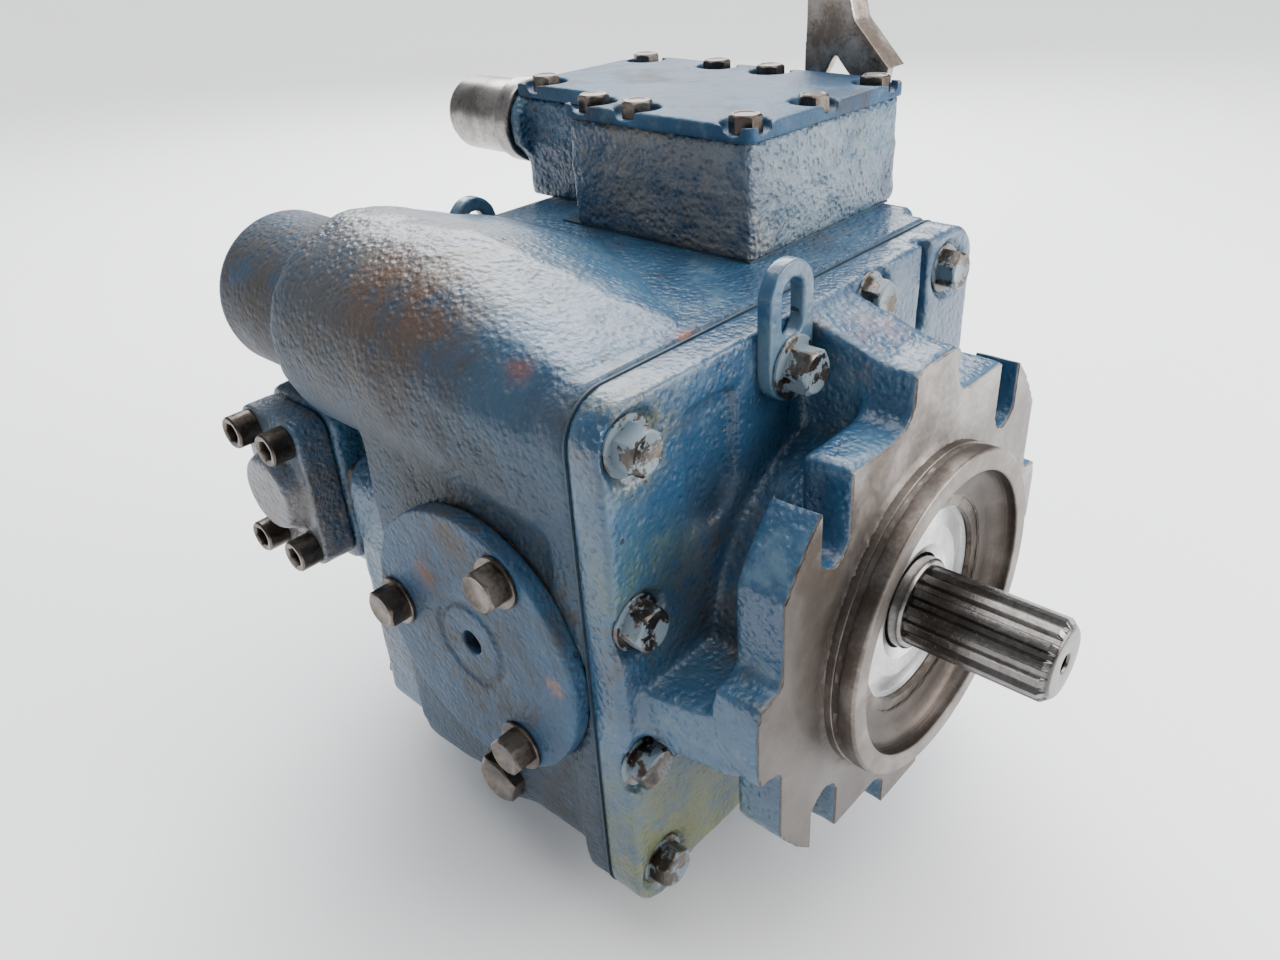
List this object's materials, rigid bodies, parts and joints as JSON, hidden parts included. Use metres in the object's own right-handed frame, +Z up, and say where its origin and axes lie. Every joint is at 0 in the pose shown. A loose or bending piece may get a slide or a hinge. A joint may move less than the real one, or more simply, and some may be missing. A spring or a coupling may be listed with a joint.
{
  "type": "variable axial piston pump",
  "caption": "Variable axial piston pump with slotted mounting flange, splined drive shaft, servo cylinders, side ports and a lever-operated control box on top.",
  "frame": {"origin": "centre of the pilot spigot in the plane of the mounting flange face", "axes": "+Y along the shaft from the drive end to the rear, +Z up towards the control box, +X to the right when looking along +Y"},
  "size_m": [0.2776, 0.3596, 0.346],
  "materials": {
    "painted_iron": "semi-gloss blue paint over rough cast iron, worn and stained",
    "painted_steel": "satin blue-grey paint on steel",
    "dark_steel": "oiled dark steel with brown tarnish",
    "shaft_steel": "ground hardened steel",
    "bearing_steel": "polished bearing steel",
    "spring_steel": "oiled spring steel",
    "bare_aluminium": "turned bare aluminium",
    "bronze": "machined bronze",
    "rubber": "black nitrile rubber",
    "gasket_sheet": "dark pressed gasket sheet",
    "shim_steel": "thin steel shims",
    "cap_steel": "glossy grey-brown steel",
    "lever_steel": "rusty brown steel"
  },
  "bodies": {
    "housing": {"front_cover": "painted_iron", "front_gasket": "gasket_sheet", "cover_bolts": "dark_steel", "seal_retainer": "bare_aluminium", "snap_ring": "dark_steel", "shaft_seal": "rubber", "front_bearing_outer": "bearing_steel", "main_housing": "painted_iron", "valve_plate": "shaft_steel", "swashplate": "shaft_steel", "trunnion_bearings": "bearing_steel", "trunnion_cover_left": "painted_iron", "trunnion_cover_right": "painted_iron", "trunnion_shims": "shim_steel", "trunnion_bolts": "dark_steel", "servo_piston_left": "shaft_steel", "servo_piston_right": "shaft_steel", "servo_spring_left": "spring_steel", "servo_spring_right": "spring_steel", "servo_cap_left": "painted_iron", "servo_cap_right": "painted_iron", "servo_links": "shaft_steel", "control_housing": "painted_iron", "control_gasket": "gasket_sheet", "control_lid": "painted_steel", "control_lid_bolts": "dark_steel", "control_cap": "cap_steel", "control_spring": "spring_steel", "spring_cups": "shaft_steel", "end_cap": "painted_iron", "end_cap_gasket": "gasket_sheet", "end_cap_bolts": "dark_steel", "rear_bearing": "bearing_steel", "port_flange_left": "painted_iron", "port_flange_right": "painted_iron", "port_screws": "dark_steel", "charge_housing": "painted_iron", "charge_bolts": "dark_steel", "lifting_straps": "painted_steel", "strap_bolts": "dark_steel", "case_plugs": "dark_steel"},
    "rotating_group": {"input_shaft": "shaft_steel", "front_bearing_inner": "bearing_steel", "cylinder_block": "shaft_steel", "pistons": "bearing_steel", "slippers": "bronze", "slipper_retainer": "shaft_steel", "ball_guide": "shaft_steel", "block_springs": "spring_steel", "bearing_plate": "bronze", "charge_inner_rotor": "shaft_steel"},
    "bearing_rollers": {"front_bearing_rollers": "bearing_steel"},
    "charge_ring": {"charge_outer_rotor": "shaft_steel"},
    "spool": {"control_spool": "shaft_steel"},
    "lever": {"lever_shaft": "shaft_steel", "control_lever": "lever_steel", "lever_nut": "dark_steel"}
  },
  "joints": [
    {"name": "shaft_spin", "type": "hinge", "parent": "housing", "child": "rotating_group", "pos_m": [0, 0, 0], "axis": [0, 1, 0], "continuous": true},
    {"name": "bearing_spin", "type": "hinge", "parent": "housing", "child": "bearing_rollers", "pos_m": [0, 0, 0], "axis": [0, 1, 0], "continuous": true},
    {"name": "charge_ring_spin", "type": "hinge", "parent": "housing", "child": "charge_ring", "pos_m": [-0.0026, 0.28, 0], "axis": [0, 1, 0], "continuous": true},
    {"name": "lever_turn", "type": "hinge", "parent": "housing", "child": "lever", "pos_m": [0.117, 0.122, 0.127], "axis": [1, 0, 0], "range_deg": [-30, 30], "stiffness_Nm_per_rad": 2},
    {"name": "spool_slide", "type": "slide", "parent": "housing", "child": "spool", "axis": [0, 1, 0], "range_m": [-0.0069, 0.0069]}
  ],
  "couplings": [
    {"joint": "bearing_spin", "follows": "shaft_spin", "ratio": 0.41667},
    {"joint": "charge_ring_spin", "follows": "shaft_spin", "ratio": 0.85714},
    {"joint": "spool_slide", "follows": "lever_turn", "m_per_rad": -0.0131}
  ]
}
